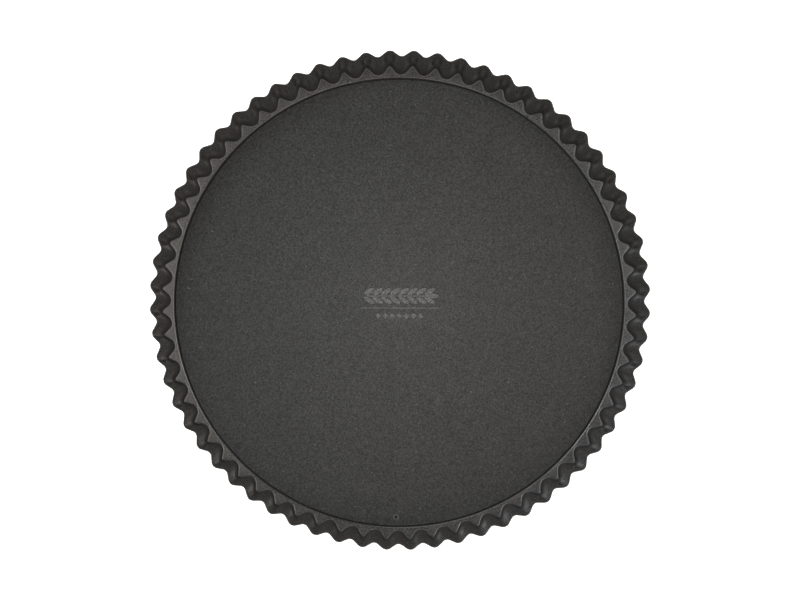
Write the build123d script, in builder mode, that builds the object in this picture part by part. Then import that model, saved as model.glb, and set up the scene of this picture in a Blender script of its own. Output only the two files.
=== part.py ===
"""Fluted tart pan with a loose base, in millimetres.

The pan is two steel stampings. The fluted ring has a flared wall, a flat scalloped ledge at the wall's foot,
a rounded step down from the ledge and an inward seat flange. The loose base is a disc that lies on the flange.

Frame: +Z is up along the pan's axis, and the origin is the centre of the plane that the seat flange rests on.
"""
import os
from math import acos, atan2, cos, hypot, pi, radians, sin

from build123d import *

# ---- Driving dimensions ----
FLUTES = 64
FIRST_FLUTE_DEG = 2.42        # turn of the first groove from +X
PAN_HEIGHT = 28.0
RING_SHEET = 0.5
BASE_SHEET = 0.8

# The wall's inner surface at the rim and at the ledge. A ridge points at the pan's axis, a groove away from it.
RIM_GROOVE_RADIUS = 139.5
RIM_RIDGE_RADIUS = 136.2
RIM_GROOVE_ARC = 3.3
RIM_RIDGE_ARC = 3.4
FOOT_GROOVE_RADIUS = 133.9
FOOT_RIDGE_RADIUS = 129.0
FOOT_GROOVE_ARC = 1.4
FOOT_RIDGE_ARC = 4.0

# The step between the ledge and the seat flange, and the flange's opening.
STEP_RADIUS = 127.0
STEP_TIGHT_BEND = 0.5
SEAT_OPENING_RADIUS = 118.5

# The loose base.
BASE_GAP = 0.6                # between the base's edge and the step
BASE_EDGE_ROUND = 0.3
HOLE_RADIUS = 1.0
HOLE_FROM_EDGE = 4.9
HOLE_ASIDE = -1.9             # along X
HOLE_MOUTH_ROUND = 0.3

# The wheat sprig pressed into the base, with a rule and a row of studs below it: raised above, hollow below.
SPRIG_LENGTH = 44.0
SPRIG_RELIEF = 0.2
STEM_WIDTH = 0.8
GRAIN_PAIRS = 8
GRAIN_LENGTH = 6.4
GRAIN_WIDTH = 2.6
GRAIN_LEAN_DEG = 32.0
SPRIG_RISE = 3.4              # the sprig lies this far above the base's centre
RULE_WIDTH = 0.6
RULE_DROP = 3.4               # the rule lies this far below it
STUD_COUNT = 7
STUD_SPACING = 4.0
STUD_RADIUS = 1.6
STUD_DROP = 8.0               # and the studs this far

# ---- Worked out from them ----
STEP_WIDE_BEND = STEP_TIGHT_BEND + RING_SHEET
STEP_HEIGHT = STEP_WIDE_BEND + STEP_TIGHT_BEND
LEDGE_TOP = RING_SHEET + STEP_HEIGHT
LEDGE_OPENING_RADIUS = STEP_RADIUS + STEP_WIDE_BEND
BASE_RADIUS = STEP_RADIUS - BASE_GAP
BASE_TOP = RING_SHEET + BASE_SHEET
CUT_OVERSHOOT = 1.0


def on_circle(radius, angle):
    """The point at a radius and an angle in radians."""
    return Vector(radius * cos(angle), radius * sin(angle))


def at_height(foot_value, rim_value, height):
    """A size of the wall that changes evenly from the ledge to the rim."""
    share = (height - LEDGE_TOP) / (PAN_HEIGHT - LEDGE_TOP)
    return foot_value + (rim_value - foot_value) * share


def flank_ends(ridge_centre, ridge_arc, groove_centre, groove_arc, turn):
    """The two ends of the straight flank that is tangent to a ridge's arc and to a groove's arc."""
    span = groove_centre - ridge_centre
    distance = hypot(span.X, span.Y)
    normal_angle = atan2(span.Y, span.X) + turn * acos((ridge_arc + groove_arc) / distance)
    normal = Vector(cos(normal_angle), sin(normal_angle))
    return ridge_centre + normal * ridge_arc, groove_centre - normal * groove_arc


def fluted_outline(height, outward=0.0):
    """Draw the wall's closed outline at a height, moved outward from the inner surface.

    Each flute is a ridge arc, a straight flank, a groove arc and a second flank, all tangent.
    """
    ridge_radius = at_height(FOOT_RIDGE_RADIUS, RIM_RIDGE_RADIUS, height) + outward
    groove_radius = at_height(FOOT_GROOVE_RADIUS, RIM_GROOVE_RADIUS, height) + outward
    ridge_arc = at_height(FOOT_RIDGE_ARC, RIM_RIDGE_ARC, height) - outward
    groove_arc = at_height(FOOT_GROOVE_ARC, RIM_GROOVE_ARC, height) + outward
    half_pitch = pi / FLUTES
    first_ridge = radians(FIRST_FLUTE_DEG) + half_pitch
    for flute in range(FLUTES):
        ridge_angle = first_ridge + 2 * half_pitch * flute
        ridge_centre = on_circle(ridge_radius + ridge_arc, ridge_angle)
        groove_before = on_circle(groove_radius - groove_arc, ridge_angle - half_pitch)
        groove_after = on_circle(groove_radius - groove_arc, ridge_angle + half_pitch)
        next_ridge = on_circle(ridge_radius + ridge_arc, ridge_angle + 2 * half_pitch)
        ridge_start, _ = flank_ends(ridge_centre, ridge_arc, groove_before, groove_arc, -1)
        ridge_end, groove_start = flank_ends(ridge_centre, ridge_arc, groove_after, groove_arc, 1)
        next_start, groove_end = flank_ends(next_ridge, ridge_arc, groove_after, groove_arc, -1)
        ThreePointArc(ridge_start, on_circle(ridge_radius, ridge_angle), ridge_end)
        Line(ridge_end, groove_start)
        ThreePointArc(groove_start, on_circle(groove_radius, ridge_angle + half_pitch), groove_end)
        Line(groove_end, next_start)


# ---- The fluted ring ----
with BuildPart() as fluted_ring:
    # The outside of the wall, closed at the bottom by the ledge's underside.
    for level in (STEP_HEIGHT, PAN_HEIGHT):
        with BuildSketch(Plane.XY.offset(level)):
            with BuildLine():
                fluted_outline(level, outward=RING_SHEET)
            make_face()
    loft(ruled=True)

    # The inside of the wall, down to the ledge's top.
    for level in (LEDGE_TOP, PAN_HEIGHT + CUT_OVERSHOOT):
        with BuildSketch(Plane.XY.offset(level)):
            with BuildLine():
                fluted_outline(level)
            make_face()
    loft(ruled=True, mode=Mode.SUBTRACT)

    # The round opening in the ledge.
    with BuildSketch(Plane.XY):
        Circle(LEDGE_OPENING_RADIUS)
    extrude(amount=PAN_HEIGHT, mode=Mode.SUBTRACT)

    # The step and the seat flange: one sheet, bent down round the wide bend and in round the tight one.
    bend_level = LEDGE_TOP - STEP_WIDE_BEND
    seat_bend_radius = STEP_RADIUS - STEP_TIGHT_BEND
    with BuildSketch(Plane.XZ):
        with BuildLine():
            Line((LEDGE_OPENING_RADIUS, STEP_HEIGHT), (LEDGE_OPENING_RADIUS, LEDGE_TOP))
            CenterArc((LEDGE_OPENING_RADIUS, bend_level), STEP_WIDE_BEND, 90, 90)
            CenterArc((seat_bend_radius, bend_level), STEP_TIGHT_BEND, 0, -90)
            Polyline(
                (seat_bend_radius, RING_SHEET),
                (SEAT_OPENING_RADIUS, RING_SHEET),
                (SEAT_OPENING_RADIUS, 0),
                (seat_bend_radius, 0),
            )
            CenterArc((seat_bend_radius, bend_level), STEP_WIDE_BEND, -90, 90)
            CenterArc((LEDGE_OPENING_RADIUS, bend_level), STEP_TIGHT_BEND, 180, -90)
        make_face()
    revolve(axis=Axis.Z)

fluted_ring.part.label = "fluted_ring"


# ---- The loose base ----
def pressed_sprig():
    """Draw the sprig: a stem, pairs of leaning grains and one at the tip, with the rule and the studs below."""
    grain_pitch = SPRIG_LENGTH / (GRAIN_PAIRS + 1)
    stem_start = -SPRIG_LENGTH / 2
    with Locations((0, SPRIG_RISE)):
        Rectangle(SPRIG_LENGTH - GRAIN_LENGTH, STEM_WIDTH)
    for pair in range(GRAIN_PAIRS):
        along = stem_start + grain_pitch * (pair + 1)
        for side in (-1, 1):
            lean = side * GRAIN_LEAN_DEG
            aside = side * (GRAIN_LENGTH / 2 * sin(radians(GRAIN_LEAN_DEG)) + STEM_WIDTH)
            with Locations(Location((along, SPRIG_RISE + aside), lean)):
                Ellipse(GRAIN_LENGTH / 2, GRAIN_WIDTH / 2)
    with Locations((SPRIG_LENGTH / 2 - GRAIN_LENGTH / 2, SPRIG_RISE)):
        Ellipse(GRAIN_LENGTH / 2, GRAIN_WIDTH / 2)
    with Locations((0, -RULE_DROP)):
        Rectangle(SPRIG_LENGTH, RULE_WIDTH)
    with Locations((0, -STUD_DROP)):
        with GridLocations(STUD_SPACING, 0, STUD_COUNT, 1):
            RegularPolygon(STUD_RADIUS, 4)


with BuildPart() as loose_base:
    with BuildSketch(Plane.XY.offset(RING_SHEET)):
        Circle(BASE_RADIUS)
    extrude(amount=BASE_SHEET)
    fillet(loose_base.edges(), BASE_EDGE_ROUND)

    with BuildSketch(Plane.XY.offset(BASE_TOP)):
        with Locations((HOLE_ASIDE, HOLE_FROM_EDGE - BASE_RADIUS)):
            Circle(HOLE_RADIUS)
    extrude(amount=-BASE_SHEET, mode=Mode.SUBTRACT)
    hole_mouth = loose_base.edges().filter_by(GeomType.CIRCLE).filter_by(
        lambda edge: abs(edge.radius - HOLE_RADIUS) < HOLE_MOUTH_ROUND
    )
    fillet(hole_mouth, HOLE_MOUTH_ROUND)

    with BuildSketch(Plane.XY.offset(BASE_TOP)):
        pressed_sprig()
    extrude(amount=SPRIG_RELIEF)
    with BuildSketch(Plane.XY.offset(RING_SHEET)):
        pressed_sprig()
    extrude(amount=SPRIG_RELIEF, mode=Mode.SUBTRACT)

loose_base.part.label = "loose_base"


# ---- One STEP file for each piece ----
os.makedirs("parts", exist_ok=True)
export_step(fluted_ring.part, "parts/fluted_ring.step")
export_step(loose_base.part, "parts/loose_base.step")
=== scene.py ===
import math

import bpy
import numpy as np
from mathutils import Matrix, Vector
from mathutils.geometry import delaunay_2d_cdt


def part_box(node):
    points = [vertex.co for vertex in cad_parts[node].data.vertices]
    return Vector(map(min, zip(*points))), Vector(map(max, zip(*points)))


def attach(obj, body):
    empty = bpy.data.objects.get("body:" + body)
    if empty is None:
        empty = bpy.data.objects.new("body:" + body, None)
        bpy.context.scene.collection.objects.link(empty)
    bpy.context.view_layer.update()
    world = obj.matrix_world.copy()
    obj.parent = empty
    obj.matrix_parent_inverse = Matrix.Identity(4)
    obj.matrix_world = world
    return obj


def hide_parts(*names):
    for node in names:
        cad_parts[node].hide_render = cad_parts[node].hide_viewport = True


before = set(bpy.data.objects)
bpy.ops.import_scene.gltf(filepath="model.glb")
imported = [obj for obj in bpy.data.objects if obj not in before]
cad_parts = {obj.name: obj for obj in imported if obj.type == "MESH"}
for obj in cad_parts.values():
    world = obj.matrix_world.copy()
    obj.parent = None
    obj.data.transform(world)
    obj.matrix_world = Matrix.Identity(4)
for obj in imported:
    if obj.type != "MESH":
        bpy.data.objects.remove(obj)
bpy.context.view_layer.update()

# The looks of a fluted tart pan with a loose base. Each piece is one pressed sheet, built here as a closed
# shell with rounded edges and bends, round the same dimensions as the CAD node that it stands for.
# Lengths are in metres.
MM = 0.001

# ---- Sizes read from the CAD pieces ----
ring_low, ring_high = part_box("fluted_ring")
base_low, base_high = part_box("loose_base")
RIM_Z = ring_high.z
RING_SHEET = base_low.z - ring_low.z          # the base lies on the seat flange, one sheet up
BASE_RADIUS = (base_high.x - base_low.x) / 2

# ---- The ring's sizes. A ridge points at the pan's axis, a groove away from it. ----
FLUTES = 64
HALF_PITCH = math.pi / FLUTES
FIRST_RIDGE = math.radians(2.42) + HALF_PITCH
WALL_AT_FOOT = {"ridge": 129.0 * MM, "groove": 133.9 * MM, "ridge_arc": 4.0 * MM, "groove_arc": 1.4 * MM}
WALL_AT_RIM = {"ridge": 136.2 * MM, "groove": 139.5 * MM, "ridge_arc": 3.4 * MM, "groove_arc": 3.3 * MM}
FOOT_FILLET = 0.6 * MM
LEDGE_SLOPE = math.radians(8)                 # the ledge rises slightly outward
STEP_RADIUS = 127.0 * MM
STEP_TIGHT_BEND = 0.5 * MM
STEP_WIDE_BEND = STEP_TIGHT_BEND + RING_SHEET
STEP_HEIGHT = STEP_WIDE_BEND + STEP_TIGHT_BEND
LEDGE_TOP = RING_SHEET + STEP_HEIGHT
LEDGE_OPENING_RADIUS = STEP_RADIUS + STEP_WIDE_BEND
SEAT_OPENING_RADIUS = 118.5 * MM

# How finely the ring is divided: along a flute's outline, then along the sheet's section.
ARC_STEPS = 7
FLANK_STEPS = 3
SEAT_EDGE_STEPS = 5
TIGHT_BEND_STEPS = 4
WIDE_BEND_STEPS = 8
LEDGE_SHARES = (0.35, 0.7)
FILLET_RINGS = 3
WALL_STEPS = 6
LIP_STEPS = 7
CORNER_RINGS = 5

# ---- The base's sizes ----
BASE_EDGE_ROUND = 0.3 * MM
HOLE_RADIUS = 1.0 * MM
HOLE_MOUTH_ROUND = 0.3 * MM
HOLE_FROM_EDGE = 4.9 * MM
HOLE_ASIDE = -1.9 * MM
HOLE_PLACE = (HOLE_ASIDE, HOLE_FROM_EDGE - BASE_RADIUS)

# The wheat sprig, the rule and the studs pressed into the base, where the CAD has them, with soft shoulders.
SPRIG_LENGTH = 44 * MM
SPRIG_RELIEF = 0.2 * MM
SPRIG_SHOULDER = 0.35 * MM
SPRIG_RISE = 3.4 * MM
STEM_WIDTH = 0.8 * MM
GRAIN_PAIRS = 8
GRAIN_HALF_LENGTH = 3.2 * MM
GRAIN_HALF_WIDTH = 1.3 * MM
GRAIN_LEAN = math.radians(32)
RULE_WIDTH = 0.6 * MM
RULE_DROP = 3.4 * MM
STUD_COUNT = 7
STUD_SPACING = 4.0 * MM
STUD_RADIUS = 1.6 * MM
STUD_DROP = 8.0 * MM
BASE_TOP = base_high.z - SPRIG_RELIEF

# How finely the base is divided: a fine patch round the sprig, the rounded edges and circles of free points.
PATCH_CELL = 0.2 * MM
PATCH_HALF = (23.0 * MM, 10.6 * MM)
EDGE_COLUMNS = 480
HOLE_COLUMNS = 40
ROUND_STEPS = 4
INSIDE_EDGE = 0.5 * MM                        # how far a free circle lies inside the rounded edge
OUTSIDE_MOUTH = (0.3 * MM, 1.0 * MM)          # how far two free circles lie outside the hole's mouth
MOUTH_CLEARANCE = 0.2 * MM                    # no free point is nearer to the mouth than this
FREE_RADII = np.arange(26, 122, 6) * MM
FREE_POINTS_PER_MM = 1.1                      # of a free circle's radius
SAME_POINT = 1e-5                             # in millimetres, for the triangulation

# ---- Finishes. Each pair of colours is the darkest and the lightest of a coating's grain. ----
FINE_GRAIN = 0.8 * MM
RING_CLOUD = 14 * MM
RING_WAVE = 2.4 * MM
BASE_CLOUD = 20 * MM
BASE_SPECK = 0.9 * MM
LIGHT_MARK_PATCH = 0.7 * MM
NOISE_RANGE = (0.3, 0.7)                      # where most values of a noise lie
GRAIN_RANGE = (0.36, 0.64)                    # a narrower range, for a crisp grain
BUMP_DEPTH = 0.02 * MM
CREASE_REACH = 1.4 * MM
CREASE_RANGE = (0.35, 0.92)                   # the occlusion that counts as closed in and as open
# Painted shade: the near-black colour that creases, corners and the hole are darkened towards.
PAINTED_CREASE_SHADE = (0.001, 0.001, 0.001)
CREASE_ROUGHNESS = 0.6                        # added where the surface is closed in
# Painted shade, low on the wall and on the seat that the base covers, fades out between these heights.
PAINTED_SHADE_ON_WALL = (LEDGE_TOP + 1 * MM, LEDGE_TOP + 11 * MM)         # the heights where it thins out
PAINTED_SHADE_ON_SEAT = (RING_SHEET + 0.1 * MM, RING_SHEET + 0.7 * MM)
RING_COLOURS = ((0.0190, 0.0178, 0.0168), (0.0490, 0.0460, 0.0435))
# The base's colours at its edge and in its middle: painted light, lighter in the middle and darker towards
# the edge.
BASE_SHADED_EDGE_COLOURS = ((0.0040, 0.0040, 0.0040), (0.0280, 0.0281, 0.0282))
BASE_LIT_MIDDLE_COLOURS = ((0.0180, 0.0180, 0.0180), (0.0520, 0.0521, 0.0522))
LIGHT_MARK_COLOUR = (0.1450, 0.1450, 0.1440)

# ---- Studio ----
FLOOR_SIZE = 8.0
FLOOR_GAP = 0.2 * MM                          # keeps the floor clear of the seat flange's underside
FLOOR_COLOUR = (0.9, 0.9, 0.9, 1)
FLOOR_GLOW = 0.8
SWEEP_RANGE = (0.08, 0.26)                    # of the sine of the elevation, where the backdrop's glow fades
SWEEP_STRENGTHS = (2.2, 0.1)
SWEEP_COLOUR = (0.97, 0.985, 1, 1)
WARM = (1.0, 0.955, 0.90)
NEUTRAL = (1.0, 1.0, 1.0)
COOL = (0.96, 0.98, 1.0)
LAMP_DISTANCE = 2.0
CAMERA_PLACE = Vector((-0.0385, -0.1344, 2.4))
CAMERA_AIM = Vector((-0.00015, -0.0004, RIM_Z))
CAMERA_LENS = 191.35
CAMERA_SENSOR = 36


def add_mesh(name, points, faces):
    """A new smooth-shaded object from points and faces."""
    mesh = bpy.data.meshes.new(name)
    mesh.from_pydata([tuple(point) for point in points], [], faces)
    mesh.update()
    for face in mesh.polygons:
        face.use_smooth = True
    piece = bpy.data.objects.new(name, mesh)
    bpy.context.scene.collection.objects.link(piece)
    return piece


# ---- The fluted ring ----
def rotated(points, angle):
    """Points turned about the pan's axis."""
    turn = np.array([[math.cos(angle), math.sin(angle)], [-math.sin(angle), math.cos(angle)]])
    return points @ turn


def arc_points(centre, radius, start, end, steps):
    """Points along an arc, without its last one."""
    angles = np.linspace(start, end, steps + 1)[:-1]
    return np.stack([centre[0] + radius * np.cos(angles), centre[1] + radius * np.sin(angles)], 1)


def line_points(start, end, steps):
    """Points along a straight line, without its last one."""
    share = np.linspace(0, 1, steps + 1)[:-1, None]
    return start + (end - start) * share


def fluted_outline(height, outward):
    """The wall's outline at a height, moved outward from the inner surface, as (columns, 2) points.

    Each flute is a ridge arc, a straight flank, a groove arc and a second flank, all tangent.
    """
    share = (height - LEDGE_TOP) / (RIM_Z - LEDGE_TOP)
    size = {key: foot + (WALL_AT_RIM[key] - foot) * share for key, foot in WALL_AT_FOOT.items()}
    ridge_arc = size["ridge_arc"] - outward
    groove_arc = size["groove_arc"] + outward
    ridge_centre = np.array([size["ridge"] + outward + ridge_arc, 0.0])
    groove_reach = size["groove"] + outward - groove_arc
    groove_centre = groove_reach * np.array([math.cos(HALF_PITCH), math.sin(HALF_PITCH)])

    # The flank's normal tells where the ridge's arc ends and where the groove's arc begins.
    span = groove_centre - ridge_centre
    facing = math.atan2(span[1], span[0]) + math.acos((ridge_arc + groove_arc) / np.hypot(*span))
    normal = np.array([math.cos(facing), math.sin(facing)])
    ridge_end = ridge_centre + normal * ridge_arc
    groove_start = groove_centre - normal * groove_arc
    groove_from = facing - math.pi
    groove_to = 2 * HALF_PITCH - groove_from
    groove_end = groove_centre + groove_arc * np.array([math.cos(groove_to), math.sin(groove_to)])
    ridge_start = ridge_centre + ridge_arc * np.array([math.cos(facing), -math.sin(facing)])
    next_ridge = rotated(ridge_start, 2 * HALF_PITCH)
    flute = np.concatenate([
        arc_points(ridge_centre, ridge_arc, 2 * math.pi - facing, facing, ARC_STEPS),
        line_points(ridge_end, groove_start, FLANK_STEPS),
        arc_points(groove_centre, groove_arc, groove_from, groove_to, ARC_STEPS),
        line_points(groove_end, next_ridge, FLANK_STEPS),
    ])
    return np.concatenate([rotated(flute, FIRST_RIDGE + 2 * HALF_PITCH * k) for k in range(FLUTES)])


def wall_station(height, outward):
    """The wall's outline at a height, as a ring of points."""
    flat = fluted_outline(height, outward)
    return np.column_stack([flat, np.full(len(flat), height)])


def wall_stations(low, high, outward):
    """Rings of points that lead up a side of the wall."""
    return [wall_station(low + (high - low) * share, outward) for share in np.linspace(0, 1, WALL_STEPS + 1)]


def circle_station(radius, height, angles):
    """A round ring of points at one radius and height."""
    return np.stack([radius * np.cos(angles), radius * np.sin(angles), np.full(len(angles), height)], 1)


def bend_stations(centre, size, start, end, steps, angles):
    """Round rings of points along a bend of the sheet, which starts and ends at angles given in degrees."""
    radius, height = centre
    rings = []
    for turn in np.radians(np.linspace(start, end, steps + 1)):
        rings.append(circle_station(radius + size * math.cos(turn), height + size * math.sin(turn), angles))
    return rings


def rounded_corner(start, corner, end, count):
    """Rings of points that round a corner between two rings, without the first and the last."""
    rings = []
    for share in np.linspace(0, 1, count + 2)[1:-1]:
        rings.append(start * (1 - share) ** 2 + corner * 2 * share * (1 - share) + end * share**2)
    return rings


def wall_normals(ring):
    """Level unit normals of a ring of points, pointing at the pan's inside."""
    along = np.roll(ring, -1, 0) - np.roll(ring, 1, 0)
    inward = np.column_stack([-along[:, 1], along[:, 0], np.zeros(len(ring))])
    return inward / np.linalg.norm(inward, axis=1)[:, None]


def dished(points):
    """Points of the ring raised for the ledge's slope, which fades out up the wall."""
    outside = np.clip(np.hypot(points[:, 0], points[:, 1]) - LEDGE_OPENING_RADIUS, 0, None)
    share = np.clip((RIM_Z - points[:, 2]) / (RIM_Z - LEDGE_TOP), 0, 1)
    points[:, 2] += math.tan(LEDGE_SLOPE) * outside * share
    return points


def ring_stations():
    """The ring's section as rings of points, from the seat's inner edge over the lip and back to the seat."""
    foot = wall_station(LEDGE_TOP, 0)
    angles = np.arctan2(foot[:, 1], foot[:, 0])
    half_sheet = RING_SHEET / 2
    bend_level = LEDGE_TOP - STEP_WIDE_BEND
    seat_edge = (SEAT_OPENING_RADIUS + half_sheet, half_sheet)
    seat_bend = (STEP_RADIUS - STEP_TIGHT_BEND, bend_level)
    ledge_bend = (LEDGE_OPENING_RADIUS, bend_level)
    lip_z = RIM_Z - half_sheet

    # The seat flange's rounded inner edge, its top, and the step up to the ledge.
    stations = bend_stations(seat_edge, half_sheet, 270, 90, SEAT_EDGE_STEPS, angles)
    stations += bend_stations(seat_bend, STEP_TIGHT_BEND, -90, 0, TIGHT_BEND_STEPS, angles)
    stations += bend_stations(ledge_bend, STEP_WIDE_BEND, 180, 90, WIDE_BEND_STEPS, angles)

    # The ledge, the fillet at the wall's foot and the wall's inside.
    opening = circle_station(LEDGE_OPENING_RADIUS, LEDGE_TOP, angles)
    fillet_start = foot + wall_normals(foot) * FOOT_FILLET
    fillet_end = wall_station(LEDGE_TOP + FOOT_FILLET, 0)
    stations += [opening + (fillet_start - opening) * share for share in LEDGE_SHARES]
    stations.append(fillet_start)
    stations += rounded_corner(fillet_start, foot, fillet_end, FILLET_RINGS)
    stations += wall_stations(LEDGE_TOP + FOOT_FILLET, lip_z, 0)

    # The rounded lip.
    for turn in np.radians(np.linspace(0, 180, LIP_STEPS + 1))[1:-1]:
        outward = half_sheet * (1 - math.cos(turn))
        stations.append(wall_station(lip_z + half_sheet * math.sin(turn), outward))

    # The wall's outside, its bottom corner and the ledge's underside.
    corner = FOOT_FILLET + RING_SHEET
    corner_start = wall_station(STEP_HEIGHT + corner, RING_SHEET)
    outer_foot = wall_station(STEP_HEIGHT, RING_SHEET)
    corner_end = outer_foot + wall_normals(outer_foot) * corner
    stations += reversed(wall_stations(STEP_HEIGHT + corner, lip_z, RING_SHEET))
    stations += rounded_corner(corner_start, outer_foot, corner_end, CORNER_RINGS)
    stations.append(corner_end)

    # The underside of the step and of the seat flange.
    stations += bend_stations(ledge_bend, STEP_TIGHT_BEND, 90, 180, TIGHT_BEND_STEPS, angles)
    stations += bend_stations(seat_bend, STEP_WIDE_BEND, 0, -90, WIDE_BEND_STEPS, angles)
    return stations


def build_ring():
    """The ring's closed shell: its stations joined by faces, each to the next and the last to the first."""
    stations = ring_stations()
    rows = len(stations)
    columns = len(stations[0])
    faces = []
    for row in range(rows):
        here = row * columns
        after = (row + 1) % rows * columns
        for column in range(columns):
            beside = (column + 1) % columns
            faces.append((here + column, here + beside, after + beside, after + column))
    return add_mesh("ring_shell", dished(np.concatenate(stations)), faces)


# ---- The loose base ----
def inside_grain(x, y, centre, lean):
    """How far points lie inside a leaning oval grain, near enough; negative outside it."""
    tiny = 1e-9
    dx, dy = x - centre[0], y - centre[1]
    along = dx * math.cos(lean) + dy * math.sin(lean)
    across = dy * math.cos(lean) - dx * math.sin(lean)
    share = np.hypot(along / GRAIN_HALF_LENGTH, across / GRAIN_HALF_WIDTH) + tiny
    steepness = np.hypot(along / GRAIN_HALF_LENGTH**2, across / GRAIN_HALF_WIDTH**2) / share + tiny
    return (1 - share) / steepness


def inside_bar(x, y, half_length, half_width):
    """How far points lie inside a bar along X that is centred on the origin; negative outside it."""
    return np.minimum(half_length - abs(x), half_width - abs(y))


def sprig_height(x, y):
    """The pressed relief's height at points of the base: the sprig, the rule and the studs."""
    tip_along = SPRIG_LENGTH / 2 - GRAIN_HALF_LENGTH
    depth = inside_bar(x, y - SPRIG_RISE, tip_along, STEM_WIDTH / 2)
    depth = np.maximum(depth, inside_grain(x, y, (tip_along, SPRIG_RISE), 0))
    grain_aside = GRAIN_HALF_LENGTH * math.sin(GRAIN_LEAN) + STEM_WIDTH
    for pair in range(GRAIN_PAIRS):
        along = SPRIG_LENGTH / (GRAIN_PAIRS + 1) * (pair + 1) - SPRIG_LENGTH / 2
        for side in (-1, 1):
            centre = (along, SPRIG_RISE + side * grain_aside)
            depth = np.maximum(depth, inside_grain(x, y, centre, side * GRAIN_LEAN))
    depth = np.maximum(depth, inside_bar(x, y + RULE_DROP, SPRIG_LENGTH / 2, RULE_WIDTH / 2))
    for stud in range(STUD_COUNT):
        beside = abs(x - (stud - (STUD_COUNT - 1) / 2) * STUD_SPACING)
        depth = np.maximum(depth, (STUD_RADIUS - beside - abs(y + STUD_DROP)) / math.sqrt(2))
    share = np.clip(depth / SPRIG_SHOULDER + 0.5, 0, 1)
    return SPRIG_RELIEF * share**2 * (3 - 2 * share)


def circle_points(centre, radius, count):
    """Points round a circle, as (count, 2)."""
    angles = np.linspace(0, 2 * math.pi, count, endpoint=False)
    return np.stack([centre[0] + radius * np.cos(angles), centre[1] + radius * np.sin(angles)], 1)


def sprig_patch():
    """The fine grid round the sprig: its points, its faces and the point numbers round its border."""
    across, deep = (int(round(2 * half / PATCH_CELL)) for half in PATCH_HALF)
    xs = np.linspace(-PATCH_HALF[0], PATCH_HALF[0], across + 1)
    ys = np.linspace(-PATCH_HALF[1], PATCH_HALF[1], deep + 1)
    points = np.stack(np.meshgrid(xs, ys), -1).reshape(-1, 2)
    number = np.arange(len(points)).reshape(deep + 1, across + 1)
    corners = [number[:-1, :-1], number[:-1, 1:], number[1:, 1:], number[1:, :-1]]
    faces = np.stack(corners, -1).reshape(-1, 4)
    border = np.concatenate([number[0, :-1], number[:-1, -1], number[-1, :0:-1], number[:0:-1, 0]])
    return points, [tuple(face) for face in faces], border


def free_points(edge_radius, mouth_radius):
    """Points that keep the triangles round the patch well shaped, and flat up to the rounded edges."""
    circles = [circle_points((0, 0), edge_radius - INSIDE_EDGE, EDGE_COLUMNS)]
    circles.append(circle_points(HOLE_PLACE, mouth_radius + OUTSIDE_MOUTH[0], HOLE_COLUMNS))
    circles.append(circle_points(HOLE_PLACE, mouth_radius + OUTSIDE_MOUTH[1], HOLE_COLUMNS // 2))
    for radius in FREE_RADII:
        circles.append(circle_points((0, 0), radius, int(radius / MM * FREE_POINTS_PER_MM)))
    points = np.concatenate(circles)
    return points[np.hypot(*(points - HOLE_PLACE).T) > mouth_radius + MOUTH_CLEARANCE]


def base_plan():
    """The base's face from above: its points, its faces, and the point numbers of its edge and its hole."""
    edge_radius = BASE_RADIUS - BASE_EDGE_ROUND
    mouth_radius = HOLE_RADIUS + HOLE_MOUTH_ROUND
    patch, patch_faces, border = sprig_patch()
    edge = circle_points((0, 0), edge_radius, EDGE_COLUMNS)
    mouth = circle_points(HOLE_PLACE, mouth_radius, HOLE_COLUMNS)
    plan = np.concatenate([patch, edge, mouth, free_points(edge_radius, mouth_radius)])
    edge_loop = len(patch) + np.arange(EDGE_COLUMNS)
    hole_loop = len(patch) + EDGE_COLUMNS + np.arange(HOLE_COLUMNS)

    # Triangles fill the space between the patch's border, the edge and the hole.
    used = np.concatenate([border, np.arange(len(patch), len(plan))])
    place = {point: k for k, point in enumerate(used)}
    sides = []
    for loop in (border, edge_loop, hole_loop):
        sides += [(place[a], place[b]) for a, b in zip(loop, np.roll(loop, -1))]
    found = delaunay_2d_cdt([Vector(point) for point in plan[used] / MM], sides, [], 0, SAME_POINT)
    triangles, origins = found[2], found[3]
    source = [used[origin[0]] for origin in origins]
    hole_reach = mouth_radius * math.cos(math.pi / HOLE_COLUMNS)
    fills = []
    for triangle in triangles:
        corners = tuple(source[k] for k in triangle)
        middle = plan[list(corners)].mean(0)
        in_patch = abs(middle[0]) < PATCH_HALF[0] and abs(middle[1]) < PATCH_HALF[1]
        in_hole = math.hypot(*(middle - HOLE_PLACE)) < hole_reach
        if not (in_patch or in_hole):
            fills.append(corners)
    return plan, patch_faces + fills, edge_loop, hole_loop


def edge_rings(loop, centre, radius, round_size, outward):
    """Rings of points that lead from a loop on the base's top, over its rounded edge, to its underside."""
    aside = (loop - centre) / np.hypot(*(loop - centre).T)[:, None]
    rings = []
    for level, start, end in ((BASE_TOP - round_size, 90, 0), (base_low.z + round_size, 0, -90)):
        for turn in np.radians(np.linspace(start, end, ROUND_STEPS + 1)):
            reach = radius + outward * round_size * (math.cos(turn) - 1)
            flat = centre + aside * reach
            rings.append(np.column_stack([flat, np.full(len(flat), level + round_size * math.sin(turn))]))
    return rings[1:-1]


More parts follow.
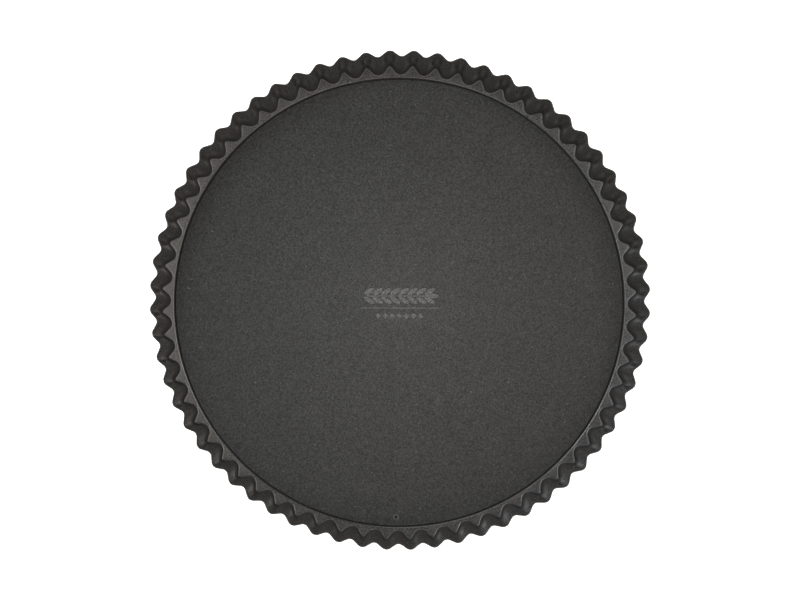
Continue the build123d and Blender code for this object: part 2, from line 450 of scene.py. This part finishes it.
def build_base():
    """The base's closed shell: its top and its underside on one plan, the edge's band and the hole's band."""
    plan, faces, edge_loop, hole_loop = base_plan()
    relief = sprig_height(plan[:, 0], plan[:, 1])
    below = len(plan)
    points = [np.column_stack([plan, BASE_TOP + relief]), np.column_stack([plan, base_low.z + relief])]
    faces += [tuple(below + k for k in reversed(face)) for face in faces]
    bands = (
        (edge_loop, np.zeros(2), BASE_RADIUS, BASE_EDGE_ROUND, 1),
        (hole_loop, np.array(HOLE_PLACE), HOLE_RADIUS, HOLE_MOUTH_ROUND, -1),
    )
    count = 2 * below
    for loop, centre, radius, round_size, outward in bands:
        numbers = [loop]
        for ring in edge_rings(plan[loop], centre, radius, round_size, outward):
            points.append(ring)
            numbers.append(count + np.arange(len(loop)))
            count += len(loop)
        numbers.append(loop + below)
        for upper, lower in zip(numbers, numbers[1:]):
            for a, b, c, d in zip(upper, lower, np.roll(lower, -1), np.roll(upper, -1)):
                faces.append((a, b, c, d)[::outward])
    return add_mesh("base_disc", np.concatenate(points), [tuple(int(k) for k in face) for face in faces])


# ---- Materials ----
class Coating:
    """A node material for a sprayed and baked non-stick coating. Its textures follow the piece, in metres."""

    def __init__(self, name, specular):
        self.material = bpy.data.materials.new(name)
        self.material.use_nodes = True
        self.nodes = self.material.node_tree.nodes
        self.links = self.material.node_tree.links
        self.shader = self.nodes["Principled BSDF"]
        self.shader.inputs["Specular IOR Level"].default_value = specular
        self.place = self.nodes.new("ShaderNodeTexCoord").outputs["Object"]

    def noise(self, grain, detail=2.0, roughness=0.5):
        """A noise whose lumps are about the size of the grain."""
        node = self.nodes.new("ShaderNodeTexNoise")
        node.inputs["Scale"].default_value = 1 / grain
        node.inputs["Detail"].default_value = detail
        node.inputs["Roughness"].default_value = roughness
        self.links.new(self.place, node.inputs["Vector"])
        return node.outputs["Fac"]

    def upward(self, vector):
        """The upward part of a vector."""
        node = self.nodes.new("ShaderNodeSeparateXYZ")
        self.links.new(vector, node.inputs["Vector"])
        return node.outputs["Z"]

    def height(self):
        """The height of a point above the piece's origin, in metres."""
        return self.upward(self.place)

    def levelness(self):
        """How squarely the surface faces up: 1 on a floor, 0 on a wall, -1 on a ceiling."""
        return self.upward(self.nodes.new("ShaderNodeNewGeometry").outputs["Normal"])

    def distance(self, point):
        """The distance from a point of the piece, in metres."""
        node = self.nodes.new("ShaderNodeVectorMath")
        node.operation = "DISTANCE"
        node.inputs[1].default_value = point
        self.links.new(self.place, node.inputs[0])
        return node.outputs["Value"]

    def spread(self, value, source, target):
        """A value brought from the source range to the target range, and kept inside it."""
        node = self.nodes.new("ShaderNodeMapRange")
        for name, number in zip(("From Min", "From Max", "To Min", "To Max"), (*source, *target)):
            node.inputs[name].default_value = number
        self.links.new(value, node.inputs["Value"])
        return node.outputs["Result"]

    def combine(self, operation, first, second):
        """Two values added or multiplied."""
        node = self.nodes.new("ShaderNodeMath")
        node.operation = operation
        self.links.new(first, node.inputs[0])
        self.links.new(second, node.inputs[1])
        return node.outputs["Value"]

    def plus(self, first, second):
        """The sum of two values."""
        return self.combine("ADD", first, second)

    def times(self, first, second):
        """The product of two values."""
        return self.combine("MULTIPLY", first, second)

    def mix(self, share, first, second):
        """A colour between two, each given as a colour or as another node's output."""
        node = self.nodes.new("ShaderNodeMix")
        node.data_type = "RGBA"
        self.links.new(share, node.inputs["Factor"])
        for name, colour in (("A", first), ("B", second)):
            if isinstance(colour, tuple):
                node.inputs[name].default_value = (*colour, 1)
            else:
                self.links.new(colour, node.inputs[name])
        return node.outputs["Result"]

    def openness(self):
        """How open the space close above the surface is: 1 on a flat, 0 deep in a crease."""
        node = self.nodes.new("ShaderNodeAmbientOcclusion")
        node.inputs["Distance"].default_value = CREASE_REACH
        return self.spread(node.outputs["AO"], CREASE_RANGE, (0, 1))

    def coat(self, colour, roughness, openness):
        """The coating's colour and roughness: painted shade darkens the colour where the surface is closed
        in, and it is matt there.
        """
        # Painted shade: the colour is mixed towards near-black where the ambient occlusion says the surface
        # is closed in.
        self.links.new(self.mix(openness, PAINTED_CREASE_SHADE, colour), self.shader.inputs["Base Color"])
        matt = self.plus(self.spread(openness, (0, 1), (CREASE_ROUGHNESS, 0)), roughness)
        self.links.new(matt, self.shader.inputs["Roughness"])

    def relief(self, height):
        """The fine bumps of the coating's surface."""
        node = self.nodes.new("ShaderNodeBump")
        node.inputs["Distance"].default_value = BUMP_DEPTH
        self.links.new(height, node.inputs["Height"])
        self.links.new(node.outputs["Normal"], self.shader.inputs["Normal"])


def painted_low_shade(coating):
    """How much painted shade darkens the ring: low on the wall and on the seat that the base covers."""
    height = coating.height()
    levelness = coating.levelness()
    low_on_wall = coating.spread(height, PAINTED_SHADE_ON_WALL, (0.95, 0))
    above_step = coating.spread(height, (LEDGE_TOP - 0.2 * MM, LEDGE_TOP), (0, 1))
    steep = coating.spread(levelness, (0.45, 0.8), (1, 0))
    on_wall = coating.times(coating.times(low_on_wall, above_step), steep)
    low_in_step = coating.spread(height, PAINTED_SHADE_ON_SEAT, (0.9, 0))
    facing_up = coating.spread(levelness, (0, 0.3), (0, 1))
    return coating.plus(on_wall, coating.times(low_in_step, facing_up))


def ring_material():
    """Satin brown-black: a fine even grain, faint clouds and slight waves, with painted shade low on the wall
    and on the seat.
    """
    coating = Coating("ring_finish", specular=0.62)
    grain = coating.noise(FINE_GRAIN, detail=3, roughness=0.6)
    clouds = coating.noise(RING_CLOUD, detail=3)
    waves = coating.noise(RING_WAVE, detail=1)
    crisp = coating.spread(grain, GRAIN_RANGE, (0, 1))
    colour = coating.mix(coating.times(crisp, coating.spread(clouds, NOISE_RANGE, (0.75, 1))), *RING_COLOURS)
    unshaded = coating.spread(painted_low_shade(coating), (0, 1), (1, 0))
    roughness = coating.spread(coating.plus(grain, clouds), (0.7, 1.3), (0.24, 0.31))
    # Painted shade: darker low on the wall, on the seat and in creases.
    coating.coat(colour, roughness, coating.times(unshaded, coating.openness()))
    coating.relief(coating.plus(coating.spread(grain, NOISE_RANGE, (0, 0.35)), waves))
    return coating.material


def base_light_marks(coating):
    """How much lighter the base is, in patches: on the pressed sprig's crests and round the hole's mouth."""
    crest = coating.spread(coating.height(), (BASE_TOP + SPRIG_RELIEF * 0.4, BASE_TOP + SPRIG_RELIEF), (0, 1))
    mouth_range = (HOLE_RADIUS + 0.2 * MM, HOLE_RADIUS + 0.8 * MM)
    mouth = coating.spread(coating.distance((*HOLE_PLACE, BASE_TOP)), mouth_range, (1, 0))
    patchy = coating.spread(coating.noise(LIGHT_MARK_PATCH, detail=1), (0.35, 0.65), (0, 0.8))
    return coating.times(coating.plus(crest, mouth), patchy)


def base_material():
    """Matt grey-black with a fine mineral speckle, with painted light that makes it lighter towards the
    middle, and lighter on the sprig's crests and round the hole's mouth.
    """
    coating = Coating("base_finish", specular=0.28)
    grain = coating.noise(FINE_GRAIN, detail=3, roughness=0.6)
    clouds = coating.noise(BASE_CLOUD, detail=3)
    crisp = coating.spread(grain, GRAIN_RANGE, (0, 1))
    film = coating.times(crisp, coating.spread(clouds, NOISE_RANGE, (0.85, 1)))
    shaded_edge_colour = coating.mix(film, *BASE_SHADED_EDGE_COLOURS)
    lit_middle_colour = coating.mix(film, *BASE_LIT_MIDDLE_COLOURS)
    # Painted light: the colour goes from the darker edge colours to the lighter middle colours towards the
    # middle.
    middle_lighting = coating.spread(coating.distance((0, 0, BASE_TOP)), (0, BASE_RADIUS), (1, 0))
    colour = coating.mix(middle_lighting, shaded_edge_colour, lit_middle_colour)
    specks = coating.spread(coating.noise(BASE_SPECK, detail=1), (0.68, 0.82), (0, 0.5))
    colour = coating.mix(coating.plus(specks, base_light_marks(coating)), colour, LIGHT_MARK_COLOUR)
    # Painted shade darkens the base's creases, the gap at its edge and the hole, through the occlusion.
    coating.coat(colour, coating.spread(grain, NOISE_RANGE, (0.34, 0.44)), coating.openness())
    coating.relief(grain)
    return coating.material


# ---- The pieces ----
ring = build_ring()
ring.data.materials.append(ring_material())
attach(ring, "ring")
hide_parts("fluted_ring")

base = build_base()
base.data.materials.append(base_material())
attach(base, "base")
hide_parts("loose_base")


# ---- Floor, lights and camera ----
def build_floor():
    """A plain pale floor that glows a little, as a light table does, so that it stays white round the pan."""
    bpy.ops.mesh.primitive_plane_add(size=FLOOR_SIZE, location=(0, 0, ring_low.z - FLOOR_GAP))
    floor = bpy.context.object
    floor.name = "floor"
    material = bpy.data.materials.new("floor_sheet")
    material.use_nodes = True
    shader = material.node_tree.nodes["Principled BSDF"]
    shader.inputs["Base Color"].default_value = FLOOR_COLOUR
    shader.inputs["Roughness"].default_value = 0.8
    shader.inputs["Emission Color"].default_value = (1, 1, 1, 1)
    shader.inputs["Emission Strength"].default_value = FLOOR_GLOW
    floor.data.materials.append(material)


def build_sweep():
    """A dim studio whose pale backdrop glows low round the pan and lights the insides of the flutes."""
    world = bpy.data.worlds.new("studio")
    bpy.context.scene.world = world
    world.use_nodes = True
    nodes, links = world.node_tree.nodes, world.node_tree.links
    direction = nodes.new("ShaderNodeSeparateXYZ")
    links.new(nodes.new("ShaderNodeTexCoord").outputs["Generated"], direction.inputs["Vector"])
    glow = nodes.new("ShaderNodeMapRange")
    for name, number in zip(("From Min", "From Max", "To Min", "To Max"), (*SWEEP_RANGE, *SWEEP_STRENGTHS)):
        glow.inputs[name].default_value = number
    links.new(direction.outputs["Z"], glow.inputs["Value"])
    links.new(glow.outputs["Result"], nodes["Background"].inputs["Strength"])
    nodes["Background"].inputs["Color"].default_value = SWEEP_COLOUR


def softbox(name, azimuth, elevation, power, size, tint):
    """A soft square light aimed at the pan. Azimuth turns from +X towards +Y; both angles are in degrees."""
    around, up = math.radians(azimuth), math.radians(elevation)
    direction = Vector((math.cos(around) * math.cos(up), math.sin(around) * math.cos(up), math.sin(up)))
    light = bpy.data.lights.new(name, "AREA")
    light.shape = "SQUARE"
    light.size = size
    light.energy = power
    light.color = tint
    lamp = bpy.data.objects.new(name, light)
    lamp.location = direction * LAMP_DISTANCE
    lamp.rotation_euler = direction.to_track_quat("Z", "Y").to_euler()
    lamp.visible_camera = False
    bpy.context.scene.collection.objects.link(lamp)


def build_camera():
    """The camera, almost straight above the pan, with +Y up in its picture."""
    data = bpy.data.cameras.new("camera")
    data.sensor_width = CAMERA_SENSOR
    data.lens = CAMERA_LENS
    camera = bpy.data.objects.new("camera", data)
    bpy.context.scene.collection.objects.link(camera)
    backward = (CAMERA_PLACE - CAMERA_AIM).normalized()
    right = Vector((0, 1, 0)).cross(backward).normalized()
    turn = Matrix((right, backward.cross(right), backward)).transposed()
    camera.matrix_world = Matrix.Translation(CAMERA_PLACE) @ turn.to_4x4()
    bpy.context.scene.camera = camera


build_floor()
build_sweep()
softbox("overhead_left", azimuth=182, elevation=72, power=3.4, size=0.5, tint=NEUTRAL)
softbox("overhead_right", azimuth=8, elevation=72, power=4.2, size=0.5, tint=WARM)
softbox("left_rear", azimuth=143, elevation=50, power=20, size=0.6, tint=COOL)
softbox("right_rear", azimuth=24, elevation=50, power=14, size=0.6, tint=WARM)
softbox("rear", azimuth=100, elevation=14, power=12, size=1.0, tint=COOL)
softbox("right", azimuth=350, elevation=50, power=5, size=0.8, tint=WARM)
softbox("left", azimuth=190, elevation=50, power=8, size=0.7, tint=NEUTRAL)
softbox("front_left", azimuth=250, elevation=55, power=8, size=0.8, tint=WARM)
softbox("front_right", azimuth=297, elevation=45, power=11, size=0.8, tint=WARM)
build_camera()
bpy.context.scene.view_settings.view_transform = "Standard"
